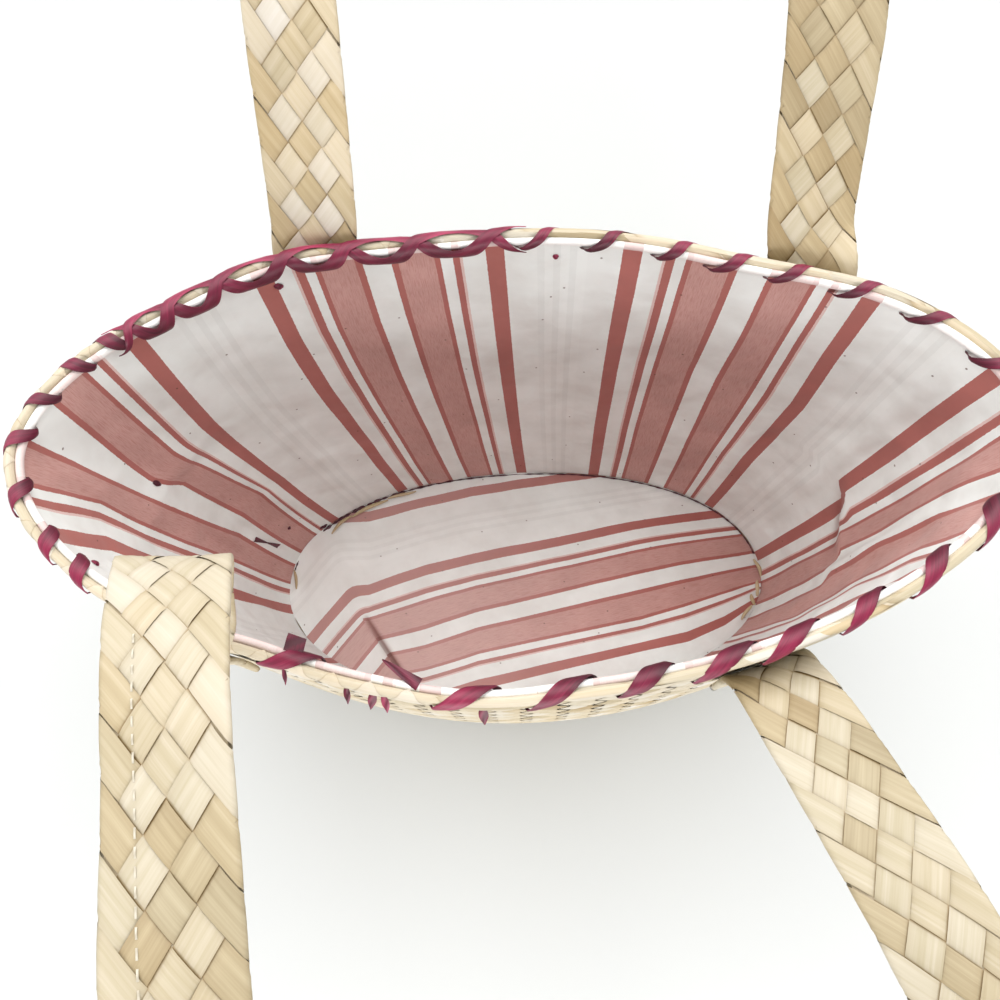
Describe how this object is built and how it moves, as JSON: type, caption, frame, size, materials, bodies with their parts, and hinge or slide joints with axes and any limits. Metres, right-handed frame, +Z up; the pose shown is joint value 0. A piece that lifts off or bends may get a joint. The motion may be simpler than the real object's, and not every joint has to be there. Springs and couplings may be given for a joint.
{
  "type": "tote bag",
  "caption": "Oval plaited palm tote bag with laced rim, striped cotton lining and flat plaited straps, for carrying shopping.",
  "frame": {"origin": "middle of the base's underside, where the bag stands on the floor", "axes": "+Z up, +X along the mouth to the right, -Y towards the front wall that the picture is taken from"},
  "size_m": [0.4712, 0.7526, 0.4395],
  "materials": {
    "palm_plait": "dry plaited palm leaf, slight sheen",
    "palm_roll": "folded palm leaf edge, slight sheen",
    "striped_cotton": "matt woven cotton, brick and dusty pink stripes on white",
    "palm_strap": "flat plaited palm strips, slight sheen"
  },
  "bodies": {
    "root": {"basket_shell": "palm_plait", "rim_roll": "palm_roll", "lining_wall": "striped_cotton", "lining_base": "striped_cotton", "strap_back": "palm_strap", "strap_front": "palm_strap"}
  },
  "joints": []
}
